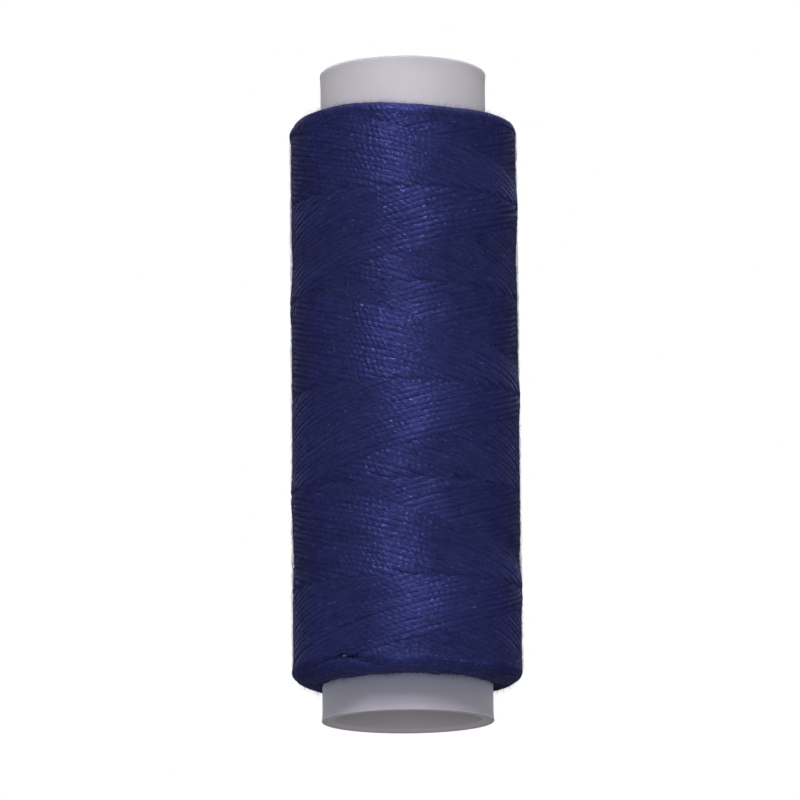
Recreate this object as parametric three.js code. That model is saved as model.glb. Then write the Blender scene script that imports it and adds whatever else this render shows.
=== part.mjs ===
// A small spool of sewing thread: a straight moulded tube, open right through, with a cross-wound
// package of thread on it. Millimetres, +Z up along the spool, standing on its lower rim at z = 0.
import * as THREE from "three";

// ------------------------------------------------------------------ driving dimensions, mm
// The tube.
const TUBE_LENGTH = 58;
const BORE_DIAMETER = 12.9; // at either mouth
const BORE_NARROWING = 0.2; // on the diameter, half-way up, where the mould's two cores met
const TUBE_WALL = 1.0; // at the lower mouth, clear of the flare
const TUBE_TAPER = 0.13; // how much less the outside radius is at the upper end
const FLARE_RISE = 0.06; // how far a rim stands proud of the tube, on the radius
const FLARE_LENGTH = 1.6;
const RIM_ROUND = 0.38; // edge radius of a rim, inside and out

// The thread package.
const BARE_BELOW = 3.1; // tube showing under the thread
const BARE_ABOVE = 4.2; // tube showing over the thread
const UNDERLAYER_DEPTH = 0.4; // radial build of the buried layers
const UNDERLAYER_ROUND = 0.36; // edge radius of the buried layers' ends
const SHOULDER_ROUND = 2.2; // radius that the outer turns follow where they reverse
const SHOULDER_TURN = 24; // degrees round that shoulder to a reversal's middle

// The strand of the outer layer. One strand stands for nine neighbouring turns of the fine thread.
const LAY_PITCH = 17.4; // climb in one turn, a lay of about 15 degrees
const STRAND_WIDTH = 3;
const STRAND_FLAT = 1.8; // of that width, between the bevels
const STRAND_THICKNESS = 0.5;
const CROSSING_GAP = 0.5; // between the strands, where one passes over another

// Clearance of each piece of thread from what it is wound on.
const FIT_GAP = 0.3;

// ------------------------------------------------------------------ counts and angles
const DOUBLE_TRAVERSES = 4; // runs up the package and down again, before the lay repeats
const STEPS_PER_TURN = 24;
const STEPS_OF_TAIL = 2; // left open between the strand's two ends
const TAIL_AZIMUTH = 240; // degrees from +X, where the strand's outer end lies
const ROUND_STEPS = 4; // of an edge's quarter round
const LATHE_STEPS = 72;

// ------------------------------------------------------------------ what follows from them
const tubeRadius = BORE_DIAMETER / 2 + TUBE_WALL;
const underlayerRadius = tubeRadius + FIT_GAP + UNDERLAYER_DEPTH;
const windingBottom = BARE_BELOW;
const windingTop = TUBE_LENGTH - BARE_ABOVE;

// A chord of the strand dips under its arc, so the inner strand is set out by as much.
const chordDip = 1 / Math.cos(Math.PI / STEPS_PER_TURN);
const innerStrandRadius = (underlayerRadius + FIT_GAP) * chordDip + STRAND_THICKNESS / 2;
const outerStrandRadius = innerStrandRadius + STRAND_THICKNESS + CROSSING_GAP;
const packageRadius = outerStrandRadius + STRAND_THICKNESS / 2;

// A reversal lies part of the way round each shoulder. Each double traverse turns the package a whole
// number of times less one part in as many as there are double traverses, so that the next one falls
// beside it and the last one closes the lay.
const middleHeight = (windingBottom + windingTop) / 2;
const straightHalf = (windingTop - windingBottom) / 2 - SHOULDER_ROUND;
const traverseHalf = straightHalf + SHOULDER_ROUND * THREE.MathUtils.degToRad(SHOULDER_TURN);
const shift = 1 / DOUBLE_TRAVERSES;
const turnsPerDoubleTraverse = Math.round((4 * traverseHalf) / LAY_PITCH + shift) - shift;
const stepsUp = Math.round((turnsPerDoubleTraverse * STEPS_PER_TURN) / 2);

// ------------------------------------------------------------------ finishes
const frostedPlastic = new THREE.MeshStandardMaterial({ color: 0xcfccd4, roughness: 0.45, metalness: 0 });
const buriedThread = new THREE.MeshStandardMaterial({ color: 0x202247, roughness: 0.9, metalness: 0 });
const wornThread = new THREE.MeshStandardMaterial({ color: 0x2c2e68, roughness: 0.75, metalness: 0 });

// A quarter round of the profile, from startAngle through a quarter turn, the wanted way round.
function quarterRound(centreR, centreZ, radius, startAngle, turn) {
  const points = [];
  for (let i = 0; i <= ROUND_STEPS; i++) {
    const angle = startAngle + (turn * (Math.PI / 2) * i) / ROUND_STEPS;
    points.push(new THREE.Vector2(centreR + radius * Math.cos(angle), centreZ + radius * Math.sin(angle)));
  }
  return points;
}

// A closed profile turned about +Z into one solid.
function turned(profile) {
  return new THREE.LatheGeometry([...profile, profile[0]], LATHE_STEPS).rotateX(Math.PI / 2);
}

// The tube's outside radius at a height, clear of the flares.
function tubeRadiusAt(height) {
  return tubeRadius - (TUBE_TAPER * height) / TUBE_LENGTH;
}

// The tube's outline: tapered outside, bore narrowing to its middle, flared ends and rounded rims.
function tubeGeometry() {
  const boreRadius = BORE_DIAMETER / 2;
  const upperRimRadius = tubeRadius - TUBE_TAPER + FLARE_RISE;
  const lowerRimRadius = tubeRadius + FLARE_RISE;
  const round = Math.min(RIM_ROUND, (upperRimRadius - boreRadius) / 2.2);
  const insideR = boreRadius + round;
  const outside = (height, flare) => new THREE.Vector2(tubeRadiusAt(height) + flare, height);
  return turned([
    ...quarterRound(insideR, round, round, Math.PI, 1),
    ...quarterRound(lowerRimRadius - round, round, round, -Math.PI / 2, 1),
    outside(round + FLARE_LENGTH / 2, FLARE_RISE / 3),
    outside(round + FLARE_LENGTH, 0),
    outside(TUBE_LENGTH - round - FLARE_LENGTH, 0),
    outside(TUBE_LENGTH - round - FLARE_LENGTH / 2, FLARE_RISE / 3),
    ...quarterRound(upperRimRadius - round, TUBE_LENGTH - round, round, 0, 1),
    ...quarterRound(insideR, TUBE_LENGTH - round, round, Math.PI / 2, 1),
    new THREE.Vector2(boreRadius - BORE_NARROWING / 2, TUBE_LENGTH / 2),
  ]);
}

// The buried layers: a sleeve of thread with softly rounded ends, which follows the tube's taper inside.
function underlayerGeometry() {
  const round = Math.min(UNDERLAYER_ROUND, UNDERLAYER_DEPTH * 0.9);
  const edgeR = underlayerRadius - round;
  return turned([
    new THREE.Vector2(tubeRadiusAt(windingBottom) + FIT_GAP, windingBottom),
    ...quarterRound(edgeR, windingBottom + round, round, -Math.PI / 2, 1),
    ...quarterRound(edgeR, windingTop - round, round, 0, 1),
    new THREE.Vector2(tubeRadiusAt(windingTop) + FIT_GAP, windingTop),
  ]);
}

// The radius that the strand runs at. It climbs on the inner radius and comes down on the outer one,
// over what it laid before, and is half-way between them at each reversal.
function strandRadius(phase) {
  if (phase % stepsUp === 0) return (innerStrandRadius + outerStrandRadius) / 2;
  return phase < stepsUp ? innerStrandRadius : outerStrandRadius;
}

// Where the strand's middle lies at a step of the winding, and which way is out of the package there.
function strandAt(step) {
  const phase = step % (2 * stepsUp);
  const lift = 1 - Math.abs(phase / stepsUp - 1);
  const along = (2 * lift - 1) * traverseHalf;
  const side = Math.sign(along);
  const lean = (side * Math.max(Math.abs(along) - straightHalf, 0)) / SHOULDER_ROUND;

  const depth = packageRadius - strandRadius(phase);
  const shoulderR = packageRadius - SHOULDER_ROUND;
  const shoulderZ = middleHeight + side * Math.min(Math.abs(along), straightHalf);
  const azimuth = THREE.MathUtils.degToRad(TAIL_AZIMUTH) + (2 * Math.PI * step) / STEPS_PER_TURN;
  const outward = new THREE.Vector3(
    Math.cos(lean) * Math.cos(azimuth),
    Math.cos(lean) * Math.sin(azimuth),
    Math.sin(lean),
  );
  const middle = new THREE.Vector3(shoulderR * Math.cos(azimuth), shoulderR * Math.sin(azimuth), shoulderZ);
  middle.addScaledVector(outward, SHOULDER_ROUND - depth);
  return { middle, outward };
}

// The strand's six-sided section: flat inside and out, with a bevel to each edge.
const flat = Math.min(STRAND_FLAT, STRAND_WIDTH * 0.9);
const section = [
  [-STRAND_WIDTH / 2, 0],
  [-flat / 2, -STRAND_THICKNESS / 2],
  [flat / 2, -STRAND_THICKNESS / 2],
  [STRAND_WIDTH / 2, 0],
  [flat / 2, STRAND_THICKNESS / 2],
  [-flat / 2, STRAND_THICKNESS / 2],
];

// One ring of the section at each step. The strand starts on the inner radius, a little past the
// azimuth of its outer end, which dips in there. Both ends run straight over their last step and are
// cut square.
function strandRings() {
  const first = STEPS_OF_TAIL;
  const last = 2 * stepsUp * DOUBLE_TRAVERSES;
  const rings = [];
  for (let step = first; step <= last; step++) {
    const { middle, outward } = strandAt(step);
    const before = strandAt(Math.max(step - 1, first)).middle;
    const after = strandAt(Math.min(step + 1, last)).middle;
    const ahead = after.clone().sub(before).normalize();
    const across = new THREE.Vector3().crossVectors(outward, ahead).normalize();
    const out = new THREE.Vector3().crossVectors(ahead, across);
    rings.push(section.map(([w, t]) => middle.clone().addScaledVector(across, w).addScaledVector(out, t)));
  }
  return rings;
}

// The rings joined into one unbroken tube, closed at its two cut ends.
function strandGeometry(rings) {
  const sides = section.length;
  const positions = rings.flat().flatMap((p) => [p.x, p.y, p.z]);
  const faces = [];
  for (let ring = 0; ring < rings.length - 1; ring++) {
    for (let side = 0; side < sides; side++) {
      const a = ring * sides + side;
      const b = ring * sides + ((side + 1) % sides);
      faces.push(a, b, a + sides, b, b + sides, a + sides);
    }
  }
  const end = (rings.length - 1) * sides;
  for (let side = 1; side < sides - 1; side++) {
    faces.push(0, side + 1, side);
    faces.push(end, end + side, end + side + 1);
  }
  const geometry = new THREE.BufferGeometry();
  geometry.setAttribute("position", new THREE.Float32BufferAttribute(positions, 3));
  geometry.setIndex(faces);
  geometry.computeVertexNormals();
  return geometry;
}

// The least distance between two stretches of the strand more than three steps apart, measured on
// points of its surface: each ring's corners and side middles, at thirds of the way to the next ring.
function leastSelfGap(rings) {
  const near = Math.ceil(STEPS_PER_TURN / 8);
  const patches = rings.slice(0, -1).map((ring, i) => {
    const points = [];
    for (const share of [0, 1 / 3, 2 / 3]) {
      const corners = ring.map((p, k) => p.clone().lerp(rings[i + 1][k], share));
      corners.forEach((p, k) => points.push(p, p.clone().lerp(corners[(k + 1) % corners.length], 0.5)));
    }
    return points;
  });
  let least = Infinity;
  for (let i = 0; i < patches.length; i++) {
    for (let j = i + near + 1; j < patches.length; j++) {
      const apart = (j - i) % STEPS_PER_TURN;
      if (Math.min(apart, STEPS_PER_TURN - apart) > near) continue;
      for (const p of patches[i]) for (const q of patches[j]) least = Math.min(least, p.distanceToSquared(q));
    }
  }
  return Math.sqrt(least);
}

function piece(name, geometry, material) {
  const mesh = new THREE.Mesh(geometry, material);
  mesh.name = name;
  return mesh;
}

const rings = strandRings();
console.log("outer layer: least gap of the strand to itself " + leastSelfGap(rings).toFixed(2) + " mm");

const spool = new THREE.Group();
spool.add(piece("spool_tube", tubeGeometry(), frostedPlastic));
const thread = new THREE.Group();
thread.add(piece("thread_underlayers", underlayerGeometry(), buriedThread));
thread.add(piece("thread_outer_layer", strandGeometry(rings), wornThread));
spool.add(thread);

export default spool;
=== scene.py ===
"""Dresses a packed spool of sewing thread: its frosted tube, its cross-wound thread and a small studio round it.

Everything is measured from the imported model, in metres. The picture side of the spool faces -Y.
"""

import logging
import math
from dataclasses import dataclass
from enum import Enum

import bpy
import numpy as np
from mathutils import Matrix, Vector


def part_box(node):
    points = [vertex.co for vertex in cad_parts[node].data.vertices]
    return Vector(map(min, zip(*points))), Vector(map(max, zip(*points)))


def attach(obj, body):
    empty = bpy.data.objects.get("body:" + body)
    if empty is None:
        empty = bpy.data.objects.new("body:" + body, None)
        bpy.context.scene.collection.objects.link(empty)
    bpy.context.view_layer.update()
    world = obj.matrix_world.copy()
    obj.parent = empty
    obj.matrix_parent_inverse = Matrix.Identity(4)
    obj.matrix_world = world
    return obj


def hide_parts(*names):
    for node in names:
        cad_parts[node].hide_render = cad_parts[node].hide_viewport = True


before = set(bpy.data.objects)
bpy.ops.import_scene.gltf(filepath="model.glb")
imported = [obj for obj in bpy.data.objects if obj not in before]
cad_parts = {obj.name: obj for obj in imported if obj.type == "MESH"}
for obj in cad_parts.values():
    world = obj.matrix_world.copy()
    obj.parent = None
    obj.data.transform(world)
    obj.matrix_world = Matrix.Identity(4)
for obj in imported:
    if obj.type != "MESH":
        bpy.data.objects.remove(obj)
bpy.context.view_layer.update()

LOG = logging.getLogger("spool")
MM = 0.001
BODY = "root"
FULL_TURN = 2.0 * math.pi
MOST_FACES = 90_000  # quads in one piece of thread
ROW_STEPS = 300  # steps of thread in one row of its map
ROW_MARGIN = 0.04  # of a row of the thread's map, left clear on each side
CELL_MARGIN = 0.05  # of a fibre's cell on its map, left clear on each side

Array = np.ndarray
Material = bpy.types.Material
Socket = bpy.types.NodeSocket
Pair = tuple[float, float]
Triple = tuple[float, float, float]
Colour = Triple
Owner = Material | bpy.types.World
Value = Socket | float | tuple[float, ...]
Strand = tuple[Array, Array]  # the points of a route, and how far along the thread each lies


class End(Enum):
    """An end of the spool, with the way in which it points."""

    LOWER = -1
    UPPER = 1


# ---- shader helpers


class Nodes:
    """The node tree of a material or of the world, with short calls to add and join its nodes."""

    def __init__(self, owner: Owner) -> None:
        """Empties the owner's tree.

        Args:
            owner: what the nodes are for.
        """
        self.owner = owner
        owner.use_nodes = True
        self.tree = owner.node_tree
        self.tree.nodes.clear()
        kind = "Material" if isinstance(owner, Material) else "World"
        self.output = self.tree.nodes.new("ShaderNodeOutput" + kind)

    @classmethod
    def of_material(cls, name: str) -> "Nodes":
        """Returns the empty tree of a new material."""
        return cls(bpy.data.materials.new(name))

    def add(self, kind: str, inputs: dict[str | int, Value] | None = None, **settings: str) -> bpy.types.Node:
        """Adds a node.

        Args:
            kind: the node's type, without its ShaderNode prefix.
            inputs: socket name or number to a plain value or to another node's output.
            **settings: the node's own properties.

        Returns:
            The node.
        """
        node = self.tree.nodes.new("ShaderNode" + kind)
        for name, value in settings.items():
            setattr(node, name, value)
        for name, value in (inputs or {}).items():
            if isinstance(value, Socket):
                self.tree.links.new(value, node.inputs[name])
            else:
                node.inputs[name].default_value = value
        return node

    def maths(self, operation: str, first: Value, second: Value = 0.0) -> Socket:
        """Returns the output of a Math node over two values or sockets."""
        return self.add("Math", {0: first, 1: second}, operation=operation).outputs[0]

    def noise(self, place: Value, scale: float, detail: float, roughness: float = 0.5) -> Socket:
        """Returns the grey output of a noise over a place."""
        inputs = {"Vector": place, "Scale": scale, "Detail": detail, "Roughness": roughness}
        return self.add("TexNoise", inputs).outputs["Fac"]

    def ranged(self, value: Value, source: Pair, target: Pair = (0.0, 1.0), **settings: str) -> Socket:
        """Returns a value carried from one range, past which it is held, over to another."""
        inputs = {"Value": value, "From Min": source[0], "From Max": source[1]}
        return self.add("MapRange", {**inputs, "To Min": target[0], "To Max": target[1]}, **settings).outputs["Result"]

    def bump(self, height: Socket, size: Pair, **under: Socket) -> Socket:
        """Returns a normal bumped by a height, with a strength and a depth, over the Normal under it if any."""
        return self.add("Bump", {"Height": height, "Strength": size[0], "Distance": size[1], **under}).outputs["Normal"]

    def mixed(self, share: Value, first: Value, second: Value) -> Socket:
        """Returns a mix of two colours, all of the second where the share is 1."""
        return self.add("Mix", {0: share, 6: first, 7: second}, data_type="RGBA").outputs[2]

    def ramp(self, value: Socket, stops: list[tuple[float, Colour]]) -> Socket:
        """Adds a ColorRamp over a value.

        Args:
            value: the factor.
            stops: position and linear colour of each stop.

        Returns:
            Its colour.
        """
        node = self.add("ValToRGB", {"Fac": value})
        ramp = node.color_ramp
        while len(ramp.elements) < len(stops):
            ramp.elements.new(1.0)
        for element, (position, colour) in zip(ramp.elements, stops):
            element.position = position
            element.color = (*colour, 1.0)
        return node.outputs["Color"]

    def finish(self, shader: Socket) -> Owner:
        """Joins the shader to the output and returns the tree's owner."""
        self.tree.links.new(shader, self.output.inputs["Surface"])
        return self.owner

    def principled(self, inputs: dict[str | int, Value]) -> Owner:
        """Ends the tree in a Principled shader and returns the tree's owner."""
        return self.finish(self.add("BsdfPrincipled", inputs).outputs["BSDF"])


# ---- finishes


@dataclass(frozen=True)
class FrostedPlastic:
    """Moulded, unpigmented polypropylene with a fine matt skin, and a painted bluish shade near its lower end that
    stands in for the thread's shadow and the blue light it reflects onto the tube.
    """

    colour: Colour = (0.520, 0.500, 0.545)
    clouding: float = 0.94  # the darkest of its uneven tone, as a share of the lightest
    clouds: float = 260.0
    # painted shade: the outside is darkened and tinted blue near its lower end, standing in for the shadow under the
    # thread and the blue light the thread reflects
    painted_shade_colour: Colour = (0.315, 0.330, 0.48)
    painted_shade_middle: float = 3.4 * MM  # up the tube, where the painted shade is deepest
    painted_shade_reach: float = 4.0 * MM
    painted_shade_share: float = 0.9
    bore_painted_light: Colour = (0.590, 0.556, 0.598)  # painted light: the bore is given a lighter colour than the outside, standing in for light that comes through the wall
    wall: Pair = (6.9 * MM, 7.4 * MM)  # radii over which the bore's painted light gives way to the outside's colour
    roughness: Pair = (0.53, 0.64)
    grain: float = 3600.0
    grain_bump: Pair = (0.12, 0.06 * MM)  # strength and depth
    light_depth: float = 0.7 * MM

    def material(self) -> Material:
        """Builds the tube's material.

        Returns:
            The material.
        """
        n = Nodes.of_material("frosted_plastic")
        place = n.add("TexCoord").outputs["Object"]
        cloud = n.noise(place, self.clouds, 3.0)
        plain = n.ramp(cloud, [(0.3, tuple(self.clouding * c for c in self.colour)), (0.7, self.colour)])
        # painted shade under the thread's overhang, deepest a little way up from the lower end
        height = n.add("SeparateXYZ", {"Vector": place}).outputs["Z"]
        apart = n.maths("ABSOLUTE", n.maths("SUBTRACT", height, self.painted_shade_middle))
        painted_shade = n.ranged(apart, (0.0, self.painted_shade_reach), (self.painted_shade_share, 0.0))
        level = n.add("VectorMath", {0: place, 1: (1.0, 1.0, 0.0)}, operation="MULTIPLY").outputs["Vector"]
        out = n.add("VectorMath", {0: level}, operation="LENGTH").outputs["Value"]
        outside = n.ranged(out, self.wall)
        # painted light: inside the wall the colour turns to the lighter bore colour, as if lit through the wall
        plain = n.mixed(outside, (*self.bore_painted_light, 1.0), plain)
        # painted shade, laid on the outside only
        colour = n.mixed(n.maths("MULTIPLY", painted_shade, outside), plain, (*self.painted_shade_colour, 1.0))
        return n.principled(
            {
                "Base Color": colour,
                "Roughness": n.ranged(cloud, (0.0, 1.0), self.roughness),
                "IOR": 1.49,
                "Specular IOR Level": 0.5,
                "Subsurface Weight": 1.0,
                "Subsurface Radius": (1.0, 1.0, 1.0),
                "Subsurface Scale": self.light_depth,
                "Normal": n.bump(n.noise(place, self.grain, 4.0), self.grain_bump),
            }
        )


@dataclass(frozen=True)
class SewingThread:
    """Two-ply spun polyester, dyed navy: matt between the fibres, with a glint on each ply's crown.

    Its patterns lie in the thread's own space: round it, and millimetres along it.
    """

    deep: Colour = (0.0098, 0.0117, 0.0475)
    mid: Colour = (0.0153, 0.0183, 0.0750)
    pale: Colour = (0.0305, 0.0360, 0.1430)
    glint: Colour = (0.0700, 0.0800, 0.2500)
    fibres: Triple = (6.0, 6.0, 1.3)  # how fine they are round and along the thread
    flecks: Triple = (2.6, 2.6, 3.2)
    drift: Pair = (0.30, 0.5)  # how fine the slow change of tone is, and its share
    tones: Pair = (0.02, 1.50)
    crown: Pair = (0.56, 0.70)  # of the flecks, where the thread shines more
    crown_gain: float = 0.24
    spark: Pair = (0.69, 0.75)  # of the flecks, where it glints
    spark_gain: float = 0.7
    roughness: Pair = (0.72, 0.42)
    fleck_bump: Pair = (0.8, 0.06 * MM)  # strength and depth
    fibre_bump: Pair = (0.45, 0.03 * MM)
    lustre: float = 0.75
    haze: float = 0.25
    light_depth: float = 0.4 * MM

    def material(self) -> Material:
        """Builds the wound thread's material.

        Returns:
            The material.
        """
        n = Nodes.of_material("sewing_thread")
        lie = n.add("Attribute", attribute_name="fibre").outputs["Vector"]
        stretched = n.add("Mapping", {"Vector": lie, "Scale": self.fibres}).outputs["Vector"]
        fibre = n.noise(stretched, 1.0, 4.0, 0.65)
        patch = n.noise(lie, 1.5, 2.0, 0.7)
        fineness, share = self.drift
        tone = n.maths("ADD", fibre, n.maths("MULTIPLY", n.noise(lie, fineness, 2.0), share))
        tone = n.ranged(tone, self.tones)
        flecked = n.add("Mapping", {"Vector": lie, "Scale": self.flecks}).outputs["Vector"]
        bead = n.noise(flecked, 1.0, 1.0)
        tone = n.maths("ADD", tone, n.ranged(bead, self.spark, (0.0, self.spark_gain)))
        colour = n.ramp(tone, [(0.0, self.deep), (0.35, self.mid), (0.75, self.pale), (1.0, self.glint)])
        crown = n.ranged(bead, self.crown, (0.0, self.crown_gain))
        return n.principled(
            {
                "Base Color": colour,
                "Roughness": n.maths("SUBTRACT", n.ranged(patch, (0.35, 0.68), self.roughness), crown),
                "Metallic": self.lustre,
                "Sheen Weight": self.haze,
                "Sheen Roughness": 0.36,
                "Sheen Tint": (0.50, 0.49, 1.0, 1.0),
                "Anisotropic": 0.80,
                "Tangent": n.add("Attribute", attribute_name="across").outputs["Vector"],
                "Subsurface Weight": 1.0,
                "Subsurface Radius": (1.0, 1.0, 1.0),
                "Subsurface Scale": self.light_depth,
                "Specular IOR Level": 0.0,
                "Specular Tint": (0.0, 0.0, 0.0, 1.0),
                "Normal": n.bump(fibre, self.fibre_bump, Normal=n.bump(bead, self.fleck_bump)),
            }
        )


@dataclass(frozen=True)
class LooseFibre:
    """Single polyester fibres, paler than the thread because light gets through them."""

    name: str = "loose_fibre"
    dark: Colour = (0.025, 0.027, 0.105)
    light: Colour = (0.060, 0.064, 0.200)
    change: float = 700.0  # how fine the change from fibre to fibre is

    def material(self) -> Material:
        """Builds the fibres' material.

        Returns:
            The material.
        """
        n = Nodes.of_material(self.name)
        tone = n.noise(n.add("TexCoord").outputs["Object"], self.change, 1.0)
        return n.principled(
            {
                "Base Color": n.ramp(tone, [(0.35, self.dark), (0.7, self.light)]),
                "Roughness": 0.5,
                "Metallic": 0.4,
                "Specular IOR Level": 0.0,
                "Specular Tint": (0.0, 0.0, 0.0, 1.0),
            }
        )


@dataclass(frozen=True)
class StudioFloor:
    """A pale floor that shows from above only, and shades only what stands over it."""

    colour: Colour = (0.86, 0.86, 0.87)
    reach: Pair = (0.05, 0.17)  # where it begins and ends to fade into the white surround

    def material(self) -> Material:
        """Builds the floor's material: pale and matt above, clear from below, far off and to soft light.

        Returns:
            The material.
        """
        n = Nodes.of_material("studio_floor")
        matt = n.add("BsdfDiffuse", {"Color": (*self.colour, 1.0)}).outputs["BSDF"]
        clear = n.add("BsdfTransparent").outputs["BSDF"]
        here = n.add("NewGeometry").outputs
        path = n.add("LightPath").outputs
        unseen = n.maths("MAXIMUM", path["Is Diffuse Ray"], path["Is Shadow Ray"])
        away = n.add("VectorMath", {0: here["Position"]}, operation="LENGTH").outputs["Value"]
        faded = n.ranged(away, self.reach, interpolation_type="SMOOTHSTEP")
        share = n.maths("MAXIMUM", n.maths("MAXIMUM", here["Backfacing"], unseen), faded)
        return n.finish(n.add("MixShader", {0: share, 1: matt, 2: clear}).outputs["Shader"])


# ---- meshes


def mesh_piece(name: str, points: Array, quads: Array, material: Material) -> bpy.types.Object:
    """Makes a smooth-shaded mesh object that rides on the part.

    Args:
        name: the piece's name.
        points: vertex places, one row each, in metres.
        quads: vertex numbers, four to a row, facing outwards.
        material: its finish.

    Returns:
        The object, linked to the scene.
    """
    mesh = bpy.data.meshes.new(name)
    mesh.vertices.add(len(points))
    mesh.vertices.foreach_set("co", np.ascontiguousarray(points, np.float32).ravel())
    mesh.loops.add(quads.size)
    mesh.loops.foreach_set("vertex_index", np.ascontiguousarray(quads, np.int32).ravel())
    mesh.polygons.add(len(quads))
    mesh.polygons.foreach_set("loop_start", np.arange(0, quads.size, 4, dtype=np.int32))
    mesh.update(calc_edges=True)
    mesh.shade_smooth()
    mesh.materials.append(material)
    piece = bpy.data.objects.new(name, mesh)
    bpy.context.scene.collection.objects.link(piece)
    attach(piece, BODY)
    LOG.info("%s: %d faces", name, len(quads))
    return piece


def add_map(mesh: bpy.types.Mesh, corners: Array) -> None:
    """Gives the mesh its UV map, from one (u, v) row for each face corner."""
    layer = mesh.uv_layers.new(name="OFBake")
    layer.uv.foreach_set("vector", np.ascontiguousarray(corners, np.float32).ravel())


def add_vectors(mesh: bpy.types.Mesh, name: str, vectors: Array) -> None:
    """Gives each vertex of the mesh a named vector."""
    layer = mesh.attributes.new(name, "FLOAT_VECTOR", "POINT")
    layer.data.foreach_set("vector", np.ascontiguousarray(vectors, np.float32).ravel())


def turned_piece(name: str, outline: Array, around: int, material: Material) -> bpy.types.Object:
    """Turns a closed outline about the spool's axis, and lays the surface flat on a map.

    Args:
        name: the piece's name.
        outline: one (radius, height) row for each point, anticlockwise.
        around: how many steps the turn has.
        material: its finish.

    Returns:
        The piece.
    """
    rings = len(outline)
    azimuth = np.arange(around) * FULL_TURN / around
    radius, height = outline[:, :1], outline[:, 1:]
    points = on_cylinder(radius, azimuth, height + 0 * azimuth)
    r, a = np.meshgrid(np.arange(rings), np.arange(around), indexing="ij")
    nr, na = (r + 1) % rings, (a + 1) % around
    quads = np.stack([r * around + a, r * around + na, nr * around + na, nr * around + a], -1)
    piece = mesh_piece(name, points.reshape(-1, 3), quads.reshape(-1, 4), material)
    u = np.stack([a, a + 1, a + 1, a], -1) / around
    v = np.stack([r, r, r + 1, r + 1], -1) / rings
    add_map(piece.data, np.stack([u, v], -1).reshape(-1, 2))
    return piece


def on_cylinder(radius: Array, angle: Array, height: Array) -> Array:
    """Returns points in space from their radius, angle in radians and height."""
    return np.stack([radius * np.cos(angle), radius * np.sin(angle), height], -1)


def unit(vectors: Array) -> Array:
    """Returns the vectors at a length of 1."""
    return vectors / np.linalg.norm(vectors, axis=-1, keepdims=True)


def quarter_round(share: Array) -> Array:
    """Returns how high a quarter circle stands over a share of its radius."""
    return np.sqrt(np.clip(1 - share**2, 0, 1))


def smooth_step(share: Array) -> Array:
    """Returns a share of 0 to 1 eased at both ends."""
    return share * share * (3 - 2 * share)


# ---- the tube


@dataclass
class SpoolTube:
    """The moulded tube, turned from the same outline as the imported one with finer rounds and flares."""

    bore: float = 12.9 * MM
    bore_narrowing: float = 0.2 * MM
    taper: float = 0.13 * MM
    flare_rise: float = 0.06 * MM
    lower_flare: float = 0.8 * MM
    upper_flare: float = 1.6 * MM
    flare_steps: int = 8
    outer_round: float = 0.06 * MM
    inner_round: float = 0.34 * MM
    round_steps: int = 7
    around: int = 288
    finish: FrostedPlastic = FrostedPlastic()

    def __post_init__(self) -> None:
        """Reads the tube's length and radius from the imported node."""
        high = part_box("spool_tube")[1]
        self.length, self.rim_radius = high.z, high.x

    def rounded(self, radius: float, height: float, size: float, start: float) -> Array:
        """Returns a quarter round of the outline about a centre, anticlockwise from an angle in turns."""
        angle = (start + np.linspace(0, 0.25, self.round_steps)) * FULL_TURN
        return np.stack([radius + size * np.cos(angle), height + size * np.sin(angle)], -1)

    def flare(self, end: End) -> Array:
        """Follows the outside over the flare of one rim.

        Args:
            end: the rim's end of the tube.

        Returns:
            One (radius, height) row for each point, from the rim inwards.
        """
        fade = np.linspace(0, 1, self.flare_steps)[1:]
        if end is End.LOWER:
            place = self.outer_round + self.lower_flare * fade
        else:
            place = self.length - self.outer_round - self.upper_flare * fade
        radius = self.rim_radius - self.flare_rise * (1 - (1 - fade) ** 2) - self.taper * place / self.length
        return np.stack([radius, place], -1)

    def outline(self) -> Array:
        """Follows the wall all round.

        Returns:
            The closed outline, one (radius, height) row for each point, anticlockwise.
        """
        inner, outer = self.inner_round, self.outer_round
        inside, outside = self.bore / 2 + inner, self.rim_radius - outer
        top, waist = self.length, self.bore / 2 - self.bore_narrowing / 2
        plain = self.rim_radius - self.flare_rise
        middle = np.array([[plain - self.taper * s, top * s] for s in (0.25, 0.5, 0.75)])
        return np.concatenate(
            [
                self.rounded(inside, inner, inner, 0.5),
                self.rounded(outside, outer, outer, 0.75),
                self.flare(End.LOWER),
                middle,
                self.flare(End.UPPER)[::-1],
                self.rounded(outside - self.taper, top - outer, outer, 0.0),
                self.rounded(inside, top - inner, inner, 0.25),
                np.array([[waist, top / 2]]),
            ]
        )

    def build(self) -> None:
        """Turns the outline about the spool's axis into the tube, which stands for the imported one."""
        piece = turned_piece("tube", self.outline(), self.around, self.finish.material())
        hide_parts("spool_tube")


# ---- the thread


@dataclass
class Run:
    """Points along the thread: where it goes round the spool, and how it lies among its neighbours."""

    azimuth: Array  # in turns
    height: Array
    age: Array  # cycles of the winding since it was laid
    depth: Array  # layers under the outside of the package
    shown: Array  # whether nothing crosses over it there

    @staticmethod
    def joined(runs: list["Run"]) -> "Run":
        """Returns the runs, end to end, as one."""
        return Run(**{name: np.concatenate([getattr(run, name) for run in runs]) for name in vars(runs[0])})


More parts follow.
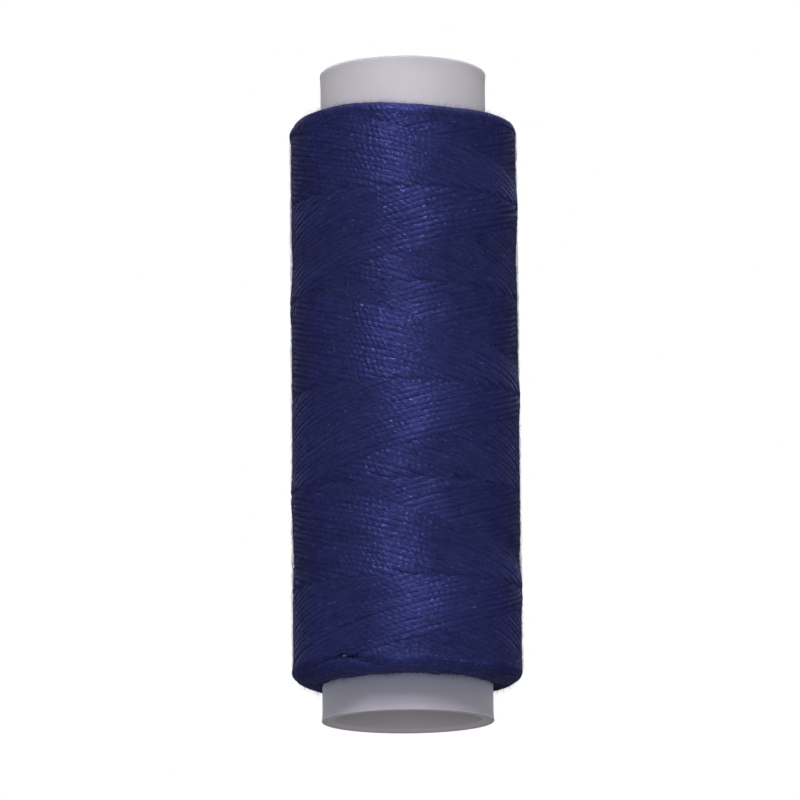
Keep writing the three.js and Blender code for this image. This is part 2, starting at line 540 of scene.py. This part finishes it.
@dataclass
class ThreadPackage:
    """One thread, cross-wound on the tube. Lengths in metres, angles in turns of the spool."""

    # the strand
    width: float = 0.80 * MM
    thickness: float = 0.33 * MM
    twist_pitch: float = 1.15 * MM
    ply_waist: float = 0.81  # the strand between its plies, as a share of it across them
    ply_round: float = 1.5
    swell: Triple = (0.06, 2100.0, 830.0)  # share, and two rates along the thread
    sides: int = 8
    step: float = 0.15 * MM
    buried_step: int = 3

    # the package
    layer: float = 0.14 * MM
    bottom: float = 3.1 * MM
    top: float = 53.80 * MM
    radius: float = 10.16 * MM
    shoulder: Pair = (2.35 * MM, 1.5 * MM)
    steepest: float = 0.97
    dent: Triple = (0.56 * MM, 294.0 / 360, 0.12)  # depth, azimuth and spread
    dent_fade: Pair = (7 * MM, 6 * MM)  # how far below the top it has gone, and over what length
    waists: tuple[Pair, ...] = ((14.3 * MM, 0.09 * MM), (40.8 * MM, 0.10 * MM))  # height and depth
    waist_reach: float = 1.7 * MM
    crease_degrees: tuple[float, ...] = (193, 216, 234, 244, 256)
    crease_heights: tuple[float, ...] = (4.00 * MM, 4.22 * MM, 4.60 * MM, 4.25 * MM, 3.80 * MM)
    crease_size: Pair = (0.50 * MM, 0.33 * MM)  # depth and spread
    crease_fade: float = 6.0  # degrees at each end

    # the winding
    cycle: int = 36  # runs up and down before the lay repeats
    turns_per_run: float = 3.0 + 0.5 / 36
    lengthening: float = 1.035  # of a run over its turns round the package
    rounding: float = 0.175  # turns over which a reversal bends
    buried_cycles: float = 6.7
    arc_reach: float = 0.10
    edge_share: float = 2.5 / 36
    overlap: float = 0.08  # of a cycle, by which what is crossed still shows
    last_valley: float = 210.0 / 360
    tail: float = 33.0 / 360
    tail_rise: float = 0.1 * MM
    tail_depth: float = 0.4  # layers under the outside
    tuck: Pair = (0.8, 1.8)  # where along the tail it dips, and by how many layers

    # its unevenness: a spread, and the length of thread over which it changes
    settling: float = 3.0 * MM
    reversal_spread: float = 0.05 * MM
    run_spread: float = 0.022 * MM
    height_drift: Pair = (0.045 * MM, 7 * MM)
    twist_drift: Pair = (0.32 * MM, 12 * MM)
    arc_drift: Pair = (0.03 * MM, 4 * MM)
    arc_phase: float = 50 * MM

    # the buried sleeve
    core_layers: float = 2.6  # under the strand
    core_overlap: float = 0.12 * MM  # into the tube's skin
    core_ends: Pair = (0.45 * MM, 0.75 * MM)
    core_round: float = 1.3 * MM
    core_steps: tuple[int, int] = (160, 8)

    seed: int = 7
    finish: SewingThread = SewingThread()

    def __post_init__(self) -> None:
        """Seeds the thread's small unevenness, and makes its finish."""
        self.random = np.random.default_rng(self.seed)
        self.material = self.finish.material()

    # -- the package's form

    def shoulder_limit(self, height: Array) -> Array:
        """Measures how far out the thread's middle may run, inside the rounded shoulders.

        Args:
            height: up the spool.

        Returns:
            The radius.
        """
        wide, tall = self.shoulder
        low, high = self.bottom + tall, self.top - tall
        past = np.maximum(np.maximum(low - height, height - high), 0) / (tall - self.thickness / 2)
        return self.radius - wide + (wide - self.thickness / 2) * quarter_round(past)

    def inset(self, depth: Array) -> Array:
        """Measures how far from the package's end a run reverses.

        Args:
            depth: how many layers deep it lies.

        Returns:
            The length from the end plane.
        """
        wide, tall = self.shoulder
        reach = 1 - self.layer * depth / (wide - self.thickness / 2)
        return tall - (tall - self.thickness / 2) * quarter_round(np.maximum(reach, 0))

    def end_fall(self, radius: Array) -> Array:
        """Returns how far the rounded end has fallen from the package's end plane at a radius."""
        wide, tall = self.shoulder
        return tall * (1 - quarter_round(np.clip((radius - self.radius + wide) / wide, 0, 1)))

    def creased(self, azimuth: Array, height: Array) -> Array:
        """Measures how deep the thread lies in the crease over its last turn, low on the package.

        Args:
            azimuth: in turns.
            height: up the spool.

        Returns:
            The depth.
        """
        around, fade = self.crease_degrees, self.crease_fade
        depth, spread = self.crease_size
        degrees = np.mod(azimuth, 1.0) * 360
        middle = np.interp(degrees, around, self.crease_heights)
        ends = (around[0] - fade, around[0] + fade, around[-1] - fade, around[-1] + fade)
        share = np.interp(degrees, ends, (0, 1, 1, 0))
        return depth * share * np.exp(-(((height - middle) / spread) ** 2))

    def dented(self, azimuth: Array, height: Array) -> Array:
        """Measures how far the upper shoulder is pressed down, fading below it.

        Args:
            azimuth: in turns.
            height: up the spool.

        Returns:
            The fall.
        """
        depth, middle, spread = self.dent
        below, length = self.dent_fade
        apart = np.mod(azimuth - middle + 0.5, 1.0) - 0.5
        fade = np.clip((height - self.top + below) / length, 0, 1)
        return depth * np.exp(-((apart / spread) ** 2)) * fade

    def facing(self, points: Array) -> Array:
        """Finds the way out of the package: level at its side, turned up or down at its ends.

        Args:
            points: places on the package.

        Returns:
            A vector for each point, not of length 1.
        """
        wide, tall = self.shoulder
        level = points[:, 2] + self.dented(np.arctan2(points[:, 1], points[:, 0]) / FULL_TURN, points[:, 2])
        above, below = level - self.top + tall, self.bottom + tall - level
        past = (np.maximum(above, 0) - np.maximum(below, 0)) / tall
        past = np.clip(past, -self.steepest, self.steepest)
        outward = unit(points * (1, 1, 0))
        outward[:, 2] = wide / tall * past * np.sqrt(np.abs(past) / (1 - past**2))
        return outward

    # -- how it is wound

    def softened(self, age: Array) -> Array:
        """Eases the step between the newest and the oldest turns over a few turns.

        Args:
            age: 0 to 1.

        Returns:
            The eased age.
        """
        edge = self.edge_share
        newest = np.clip(1 - age / edge, 0, 1)
        oldest = np.clip((age - 1 + edge) / edge, 0, 1)
        return age + 0.5 * smooth_step(newest) - 0.5 * smooth_step(oldest)

    def reversals(self, count: int) -> tuple[Array, Array, Array]:
        """Places every reversal, from the oldest shown to the last one, low on the package.

        Args:
            count: how many runs of thread there are.

        Returns:
            The azimuth in turns, height and age of each of the count + 1 reversals.
        """
        left = count - np.arange(count + 1)
        age = left / 2 / self.cycle
        azimuth = self.last_valley - self.turns_per_run * left
        inset = self.inset(2 * age + 0.5) + np.abs(self.random.normal(0, self.reversal_spread, count + 1))
        height = np.where(left % 2 == 0, self.bottom + inset, self.top - inset)
        return azimuth, height, age

    @staticmethod
    def eased(share: Array, rounding: float) -> Array:
        """Rounds a run at both of its reversals.

        Args:
            share: its progress in azimuth.
            rounding: the share of it that bends at each end.

        Returns:
            Its progress in height.
        """
        near = np.minimum(share, 1 - share)
        rise = np.where(near < rounding, near**2 / (2 * rounding), near - rounding / 2) / (1 - rounding)
        return np.where(share < 0.5, rise, 1 - rise)

    def run(self, start: Triple, end: Triple, shares: Array) -> Run:
        """Follows one run of thread between two reversals.

        Args:
            start: azimuth, height and age of the reversal that it leaves.
            end: the same of the reversal that it comes to.
            shares: where along its azimuth to place its points, 0 to 1.

        Returns:
            The run.
        """
        azimuth = start[0] + (end[0] - start[0]) * shares
        progress = self.eased(shares, self.rounding / self.turns_per_run)
        age = start[2] + (end[2] - start[2]) * shares
        crossed = np.mod(age - 2 * (azimuth - start[0]), 1.0)
        under = crossed < age
        depth = self.softened(age) + self.softened(crossed) + under
        return Run(azimuth, start[1] + (end[1] - start[1]) * progress, age, depth, crossed > age - self.overlap)

    def smooth(self, values: Array, length: float) -> Array:
        """Averages values along the thread.

        Args:
            values: one for each step.
            length: of thread, over which to average.

        Returns:
            As many values.
        """
        reach = max(int(length / self.step / 2), 1)
        window = np.hanning(2 * reach + 3)[1:-1]
        return np.convolve(np.pad(values, reach, mode="edge"), window / window.sum(), mode="valid")

    def drift(self, count: int, spread: float, length: float) -> Array:
        """Returns a slow random drift along the thread, smoothed over a length."""
        drift = self.smooth(self.random.normal(0, 1, count), length)
        return spread * drift / max(drift.std(), 1e-9)

    def route(self, run: Run) -> Array:
        """Turns a run into points in space: over and under what it crosses, and inside the shoulders.

        Args:
            run: the run.

        Returns:
            One row for each point.
        """
        radius = self.radius - self.thickness / 2 - self.layer * self.smooth(run.depth, self.settling)
        for middle, depth in self.waists:
            radius = radius - depth * np.exp(-(((run.height - middle) / self.waist_reach) ** 2))
        radius = np.minimum(radius, self.shoulder_limit(run.height)) - self.creased(run.azimuth, run.height)
        height = run.height - self.dented(run.azimuth, run.height)
        return on_cylinder(radius, run.azimuth * FULL_TURN, height)

    def full_route(self) -> Strand:
        """Follows the last whole cycle of thread in one unbroken route, to its tucked-in end.

        Returns:
            The points of the route, and how far along the thread each lies.
        """
        count = 2 * self.cycle
        azimuth, height, age = self.reversals(count)
        per_run = int(self.turns_per_run * FULL_TURN * self.radius * self.lengthening / self.step)
        shares = np.arange(per_run) / per_run
        runs = []
        for i in range(count):
            ends = [(azimuth[k], height[k], age[k]) for k in (i, i + 1)]
            runs.append(self.run(*ends, shares))
            runs[-1].height += self.random.normal(0, self.run_spread)
        runs.append(self.last_turn(azimuth[-1], height[-1]))
        whole = Run.joined(runs)
        whole.height = self.smooth(whole.height, self.settling) + self.drift(len(whole.height), *self.height_drift)
        points = self.route(whole)
        number = np.arange(len(points))
        keep = whole.shown | (number % self.buried_step == 0)
        along = number * self.step + self.drift(len(points), *self.twist_drift)
        return points[keep], along[keep]

    def last_turn(self, azimuth: float, height: float) -> Run:
        """Lays the thread's end along the lower shoulder and tucks it in under its last turns.

        Args:
            azimuth: of the last reversal, in turns.
            height: of the last reversal.

        Returns:
            The run from there to the thread's end.
        """
        count = int(self.tail * FULL_TURN * self.radius / self.step)
        share = np.linspace(0, 1, count)
        start, layers = self.tuck
        dip = np.clip((share - start) / (1 - start), 0, 1) ** 2
        level = height + self.tail_rise * share
        shown = np.full(count, True)
        return Run(azimuth + self.tail * share, level, 0 * share, self.tail_depth + layers * dip, shown)

    def buried_arcs(self) -> list[Strand]:
        """Follows the older reversals that form the shoulders, each as far as it shows.

        Returns:
            The route of each, and how far along the thread its points lie.
        """
        count = int(2 * self.cycle * (1 + self.buried_cycles))
        azimuth, height, age = self.reversals(count)
        points = int(2 * self.arc_reach * FULL_TURN * self.radius / self.step)
        offset = np.linspace(-self.arc_reach, self.arc_reach, points)
        pitch = (self.top - self.bottom) / self.turns_per_run
        fall = pitch * offset**2 / (2 * self.rounding)
        shown = np.full(points, True)
        arcs = []
        for i in range(1, count - 2 * self.cycle + 1):
            end = End.LOWER if height[i] < (self.bottom + self.top) / 2 else End.UPPER
            level = height[i] - end.value * fall + self.drift(points, *self.arc_drift)
            arc = Run(azimuth[i] + offset, level, age[i] + 0 * offset, 2 * age[i] + 0.5 + 0 * offset, shown)
            along = self.random.uniform(0, self.arc_phase) + np.arange(points) * self.step
            arcs.append((self.route(arc), along))
        return arcs

    # -- how it is made

    def skin(self, points: Array, along: Array) -> tuple[Array, ...]:
        """Wraps the two twisted plies round a route.

        Args:
            points: the route.
            along: how far along the thread each point lies.

        Returns:
            The vertices, the quads and, for each vertex, its place round and along the thread, by which
            the fibres run straight, and the way across the thread.
        """
        ahead = unit(np.gradient(points, axis=0))
        across = unit(np.cross(ahead, self.facing(points)))
        outward = np.cross(across, ahead)
        lay = np.arange(self.sides) * FULL_TURN / self.sides
        angle = lay[None, :] - (along / self.twist_pitch * FULL_TURN)[:, None]
        share, fast, slow = self.swell
        swell = 1 + share * np.sin(along * fast) * np.cos(along * slow)
        lobe = self.ply_waist + (1 - self.ply_waist) * np.abs(np.cos(lay)) ** self.ply_round
        size = swell[:, None] * lobe[None, :]
        side = (self.width / 2 * size * np.cos(angle))[..., None] * across[:, None, :]
        rise = (self.thickness / 2 * size * np.sin(angle))[..., None] * outward[:, None, :]
        vertices = (points[:, None, :] + side + rise).reshape(-1, 3)
        fibre = np.stack([np.cos(angle), np.sin(angle), np.broadcast_to(along[:, None] / MM, angle.shape)], -1)
        r, a = np.meshgrid(np.arange(len(points) - 1), np.arange(self.sides), indexing="ij")
        na = (a + 1) % self.sides
        quads = np.stack([r, r + 1, r + 1, r], -1) * self.sides + np.stack([a, a, na, na], -1)
        return vertices, quads.reshape(-1, 4), fibre.reshape(-1, 3), np.repeat(across, self.sides, 0)

    def add_piece(self, name: str, strands: list[Strand]) -> None:
        """Joins strands into one piece of thread.

        Args:
            name: the piece's name.
            strands: the route and the distance along the thread of each.
        """
        skins, maps = [], []
        rows = sum(-(-(len(points) - 1) // ROW_STEPS) for points, _ in strands)
        base = row = 0
        for points, along in strands:
            vertices, quads, fibre, across = self.skin(points, along)
            skins.append((vertices, quads + base, fibre, across))
            strand_map, row = self.map_strand(len(points) - 1, row, rows)
            maps.append(strand_map)
            base += len(vertices)
        vertices, quads, fibre, across = (np.concatenate(rows_of) for rows_of in zip(*skins))
        piece = mesh_piece(name, vertices, quads, self.material)
        add_vectors(piece.data, "fibre", fibre)
        add_vectors(piece.data, "across", across)
        add_map(piece.data, np.concatenate(maps))
        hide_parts("thread_underlayers", "thread_outer_layer")

    def map_strand(self, steps: int, row: int, rows: int) -> tuple[Array, int]:
        """Lays a strand's skin on the map in rows, each a stretch of it laid flat.

        Args:
            steps: how many steps the strand has.
            row: the first free row.
            rows: how many rows the map has.

        Returns:
            The corners' places on the map, and the next free row.
        """
        number = np.arange(steps)
        u = (number % ROW_STEPS)[:, None, None] + np.array([0, 1, 1, 0])
        u = np.broadcast_to(u, (steps, self.sides, 4)) / ROW_STEPS
        side = np.arange(self.sides)[None, :, None] + np.array([0, 0, 1, 1])
        base = row + (number // ROW_STEPS)
        v = (base[:, None, None] + ROW_MARGIN + (1 - 2 * ROW_MARGIN) * side / self.sides) / rows
        corners = np.stack([u, np.broadcast_to(v, u.shape)], -1).reshape(-1, 2)
        return corners, row - (-steps // ROW_STEPS)

    def core(self) -> None:
        """Adds the buried thread as one softly rounded sleeve, which shows only between strands."""
        around, steps = self.core_steps
        outer = self.radius - self.thickness - self.core_layers * self.layer
        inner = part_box("spool_tube")[1].x - self.core_overlap
        bottom, top = self.bottom + self.core_ends[0], self.top - self.core_ends[1]
        quarter = np.linspace(0, math.pi / 2, steps)
        out = inner + (outer - inner) * np.sin(quarter)
        low = np.stack([out, bottom + self.core_round * (1 - np.cos(quarter))], -1)
        high = low[::-1] * (1, -1) + (0, bottom + top)
        piece = turned_piece("thread_buried", np.concatenate([low, high]), around, self.material)
        places = np.array([vertex.co for vertex in piece.data.vertices])
        add_vectors(piece.data, "fibre", places / MM)
        add_vectors(piece.data, "across", np.tile((0.0, 0.0, 1.0), (len(places), 1)))

    def build(self) -> None:
        """Builds the thread in pieces of a size that exports whole."""
        points, along = self.full_route()
        most = MOST_FACES // self.sides
        stretches = -(-(len(points) - 1) // most)
        cuts = np.linspace(0, len(points) - 1, stretches + 1).astype(int)
        for i in range(stretches):
            part = slice(cuts[i], cuts[i + 1] + 1)
            self.add_piece(f"thread_lay_{i + 1:02d}", [(points[part], along[part])])
        arcs = self.buried_arcs()
        per_piece = max(most // len(arcs[0][0]), 1)
        for i in range(0, len(arcs), per_piece):
            self.add_piece(f"thread_shoulder_{i // per_piece + 1:02d}", arcs[i : i + per_piece])
        self.core()


@dataclass
class ThreadFuzz:
    """The loose fibres of a spun thread: most lie along it, some stand off its two ends, some splay from its end."""

    package: ThreadPackage
    thickness: float = 0.012 * MM
    thinning: float = 0.7  # from a fibre's root to its tip
    joints: int = 5
    sides: int = 3
    seed: int = 23
    finish: LooseFibre = LooseFibre()

    # those that lie along the thread
    pieces: int = 6
    count: int = 8000
    margin: float = 0.2 * MM  # from the package's ends
    longest: float = 3.0 * MM
    shortest: float = 0.3  # as a share of the longest
    highest: float = 0.07 * MM
    lift: Pair = (0.15, 1.7)  # the least, and how few stand high
    arch: Pair = (1.3, 3.0)  # of a wave, over a fibre's length
    sunk: Pair = (0.1, 2.0)  # layers under the top of the strand
    raised: float = 0.35  # of the strand's thickness, over its middle
    slope: Pair = (math.radians(14), 0.2)  # of the lay, and its spread
    curl: float = 0.12

    # those that stand off the package's ends
    fringe: int = 8000
    off_tube: float = 0.02 * MM
    fringe_reach: Pair = (2.1 * MM, 1.6)  # out from the tube, and how they crowd to it
    fringe_root: float = 0.15 * MM
    fringe_length: Pair = (0.25 * MM, 0.45 * MM)  # the least, and the most on top of it
    fringe_lean: float = 0.9
    fringe_curl: float = 0.3
    fringe_spread: float = 0.10 * MM

    # those of its cut end
    cut: int = 60
    cut_end: Pair = (237.4 / 360, 4.55 * MM)  # azimuth and height
    cut_depth: float = 0.20 * MM
    cut_length: Pair = (0.10 * MM, 0.24 * MM)
    cut_outward: float = 1.2
    cut_finish: LooseFibre = LooseFibre("cut_fibre", (0.26, 0.27, 0.42), (0.42, 0.44, 0.62))

    def __post_init__(self) -> None:
        """Seeds the fibres' places, and shares out the joints along a fibre."""
        self.random = np.random.default_rng(self.seed)
        self.shares = np.linspace(0, 1, self.joints)

    def build(self) -> None:
        """Scatters the fibres over the package."""
        material = self.finish.material()
        for i in range(self.pieces):
            self.add_piece(f"thread_fuzz_{i + 1}", self.lying(), material)
        self.add_piece("thread_fringe", self.standing(), material)
        self.add_piece("thread_end_fibres", self.splayed(), self.cut_finish.material())

    def lying(self) -> Array:
        """Scatters fibres that lie along the thread.

        Returns:
            Their middle lines, one row of points for each.
        """
        random, n, package = self.random, self.count, self.package
        height = random.uniform(package.bottom + self.margin, package.top - self.margin, n)
        azimuth = random.uniform(0, FULL_TURN, n)
        sunk = random.uniform(*self.sunk, n) * package.layer - self.raised * package.thickness
        slope, spread = self.slope
        lean = random.choice([-1, 1], n) * slope + random.normal(0, spread, n)
        length = self.longest * random.uniform(self.shortest, 1, n)
        least, rarity = self.lift
        lift = self.highest * random.uniform(least, 1, n) ** rarity
        curl = random.normal(0, self.curl, n) * length
        t = self.shares[None, :]
        along, side = length[:, None] * t, curl[:, None] * t**2
        round_it = along * np.cos(lean)[:, None] - side * np.sin(lean)[:, None]
        turn = azimuth[:, None] + round_it / package.radius
        up = height[:, None] + along * np.sin(lean)[:, None] + side * np.cos(lean)[:, None]
        arch = lift[:, None] * np.sin(t * random.uniform(*self.arch, n)[:, None])
        out = package.shoulder_limit(up) - package.creased(turn / FULL_TURN, up) - sunk[:, None] + arch
        return on_cylinder(out, turn, up - package.dented(turn / FULL_TURN, up))

    def standing(self) -> Array:
        """Scatters fibres that stand off both ends of the package, along the tube.

        Returns:
            Their middle lines, one row of points for each.
        """
        random, n, package = self.random, self.fringe, self.package
        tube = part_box("spool_tube")[1].x
        upward = np.where(np.arange(n) % 2 == 0, End.UPPER.value, End.LOWER.value)
        azimuth = random.uniform(0, FULL_TURN, n)
        reach, crowding = self.fringe_reach
        radius = tube + self.off_tube + random.uniform(0, 1, n) ** crowding * reach
        top = package.top - package.dented(azimuth / FULL_TURN, package.top)
        start = np.where(upward > 0, top, package.bottom) - upward * (package.end_fall(radius) + self.fringe_root)
        least, more = self.fringe_length
        length = least + more * random.uniform(0, 1, n) ** 2
        lean, curl = random.normal(0, self.fringe_lean, n), random.normal(0, self.fringe_curl, n) * length
        t = self.shares[None, :]
        turn = azimuth[:, None] + (length * np.sin(lean))[:, None] * t / radius[:, None] + curl[:, None] * t**2 / tube
        up = start[:, None] + (upward * length * np.cos(lean))[:, None] * t
        out = radius[:, None] + random.uniform(0, self.fringe_spread, n)[:, None] * t
        return on_cylinder(out, turn, up)

    def splayed(self) -> Array:
        """Splays fibres from the thread's cut end, in its crease.

        Returns:
            Their middle lines, one row of points for each.
        """
        random, n = self.random, self.cut
        azimuth, height = self.cut_end
        angle = azimuth * FULL_TURN
        out = np.array([math.cos(angle), math.sin(angle), 0.0])
        foot = out * (self.package.radius - self.cut_depth) + (0, 0, height)
        way = unit(random.normal(0, 1, (n, 3)) + self.cut_outward * out)
        return foot + way[:, None] * self.shares[None, :, None] * random.uniform(*self.cut_length, (n, 1, 1))

    def add_piece(self, name: str, middle: Array, material: Material) -> None:
        """Makes one piece of fibres from their middle lines.

        Args:
            name: the piece's name.
            middle: one row of points for each fibre.
            material: its finish.
        """
        n, sides, steps = len(middle), self.sides, self.joints - 1
        ahead = unit(np.gradient(middle, axis=1))
        first = unit(np.cross(ahead, middle * (1, 1, 0)))
        second = np.cross(ahead, first)
        spokes = np.arange(sides) * FULL_TURN / sides
        thin = self.thickness / 2 * (1 - self.thinning * self.shares)[None, :, None, None]
        ring = first[:, :, None] * np.cos(spokes)[:, None] + second[:, :, None] * np.sin(spokes)[:, None]
        vertices = (middle[:, :, None] + thin * ring).reshape(-1, 3)
        h, j, a = np.meshgrid(np.arange(n), np.arange(steps), np.arange(sides), indexing="ij")
        base, na = (h * self.joints + j) * sides, (a + 1) % sides
        quads = np.stack([base + a, base + na, base + sides + na, base + sides + a], -1).reshape(-1, 4)
        piece = mesh_piece(name, vertices, quads, material)
        cells, filled = math.ceil(math.sqrt(n)), 1 - 2 * CELL_MARGIN
        u = (h % cells)[..., None] + CELL_MARGIN + filled * (j[..., None] + np.array([0, 0, 1, 1])) / steps
        v = (h // cells)[..., None] + CELL_MARGIN + filled * (a[..., None] + np.array([0, 1, 1, 0])) / sides
        add_map(piece.data, np.stack([u, v], -1).reshape(-1, 2) / cells)


# ---- the studio


@dataclass(frozen=True)
class SoftLamp:
    """A soft rectangular lamp, aimed at the spool's middle."""

    name: str
    azimuth: float  # degrees round the spool from its picture side, positive to the right
    elevation: float  # degrees above the floor
    distance: float
    size: Pair
    power: float  # watts

    def build(self, aim: Vector) -> None:
        """Hangs the lamp.

        Args:
            aim: the spool's middle.
        """
        data = bpy.data.lights.new(self.name, "AREA")
        data.shape = "RECTANGLE"
        data.size, data.size_y = self.size
        data.energy = self.power
        lamp = bpy.data.objects.new(self.name, data)
        a, e = math.radians(self.azimuth), math.radians(self.elevation)
        back = Vector((math.sin(a) * math.cos(e), -math.cos(a) * math.cos(e), math.sin(e)))
        lamp.location = aim + back * self.distance
        lamp.rotation_euler = (-back).to_track_quat("-Z", "Y").to_euler()
        bpy.context.scene.collection.objects.link(lamp)


@dataclass
class Studio:
    """The floor, the light and the camera of the photograph."""

    camera_elevation: float = math.radians(-11.45)
    camera_distance: float = 0.4787
    camera_lean: float = math.radians(-0.495)
    camera_clip: Pair = (0.01, 20.0)
    lens: float = 244.7
    aim: Triple = (0.0, 0.0, 0.029)
    shift: Pair = (-5.3 / 800, -5.1 / 800)  # pixels over the picture's width
    floor_reach: float = 3.0
    floor_height: float = -0.02 * MM
    soft_light: Colour = (0.19, 0.42, 0.25)  # from below, from the sides and from above
    lamps: tuple[SoftLamp, ...] = (
        SoftLamp("key", -2.0, 57.0, 0.9, (0.10, 0.45), 10.0),
        SoftLamp("fill", 0.0, -14.0, 0.9, (0.12, 0.30), 1.2),
        SoftLamp("back", 180.0, 45.0, 1.0, (0.6, 0.5), 3.5),
    )

    def build(self) -> None:
        """Builds the studio in order: camera, floor, surround and lamps."""
        self.camera()
        self.floor()
        self.world()
        for lamp in self.lamps:
            lamp.build(Vector(self.aim))

    def camera(self) -> None:
        """Places the camera below the spool's middle, looking up at its picture side."""
        data = bpy.data.cameras.new("camera")
        data.lens = self.lens
        data.shift_x, data.shift_y = self.shift
        data.clip_start, data.clip_end = self.camera_clip
        camera = bpy.data.objects.new("camera", data)
        bpy.context.scene.collection.objects.link(camera)
        e = self.camera_elevation
        back = Vector((0.0, -math.cos(e), math.sin(e)))
        camera.location = Vector(self.aim) + back * self.camera_distance
        turn = (-back).to_track_quat("-Z", "Y").to_matrix().to_4x4()
        lean = Matrix.Rotation(self.camera_lean, 4, "Z")
        camera.matrix_world = Matrix.Translation(camera.location) @ turn @ lean
        bpy.context.scene.camera = camera

    def floor(self) -> None:
        """Lays the pale floor that the spool stands on."""
        half = self.floor_reach
        mesh = bpy.data.meshes.new("floor")
        corners = [(-half, -half, 0.0), (half, -half, 0.0), (half, half, 0.0), (-half, half, 0.0)]
        mesh.from_pydata(corners, [], [(0, 1, 2, 3)])
        mesh.materials.append(StudioFloor().material())
        floor = bpy.data.objects.new("floor", mesh)
        floor.location.z = self.floor_height
        bpy.context.scene.collection.objects.link(floor)

    def world(self) -> None:
        """Sets a white surround that lights the spool only softly, most from its sides."""
        world = bpy.data.worlds.new("surround")
        bpy.context.scene.world = world
        n = Nodes(world)
        path = n.add("LightPath").outputs
        seen = n.maths("MAXIMUM", path["Is Camera Ray"], path["Is Glossy Ray"])
        seen = n.maths("MAXIMUM", seen, path["Is Transmission Ray"])
        place = n.add("NewGeometry").outputs["Position"]
        upward = n.add("SeparateXYZ", {"Vector": place}).outputs["Z"]
        tones = [(share, (tone, tone, tone)) for share, tone in zip((0.0, 0.5, 1.0), self.soft_light)]
        soft = n.add("Background", {"Color": n.ramp(n.ranged(upward, (-1.0, 1.0)), tones)}).outputs["Background"]
        white = n.add("Background", {"Color": (1.0, 1.0, 1.0, 1.0), "Strength": 1.0}).outputs["Background"]
        n.finish(n.add("MixShader", {0: seen, 1: soft, 2: white}).outputs["Shader"])


# ---- the whole


def main() -> None:
    """Builds the studio, the tube and the thread."""
    logging.basicConfig(level=logging.INFO, format="%(name)s: %(message)s")
    bpy.context.scene.view_settings.view_transform = "Standard"
    Studio().build()
    SpoolTube().build()
    package = ThreadPackage()
    package.build()
    ThreadFuzz(package).build()


if __name__ == "__main__":
    main()
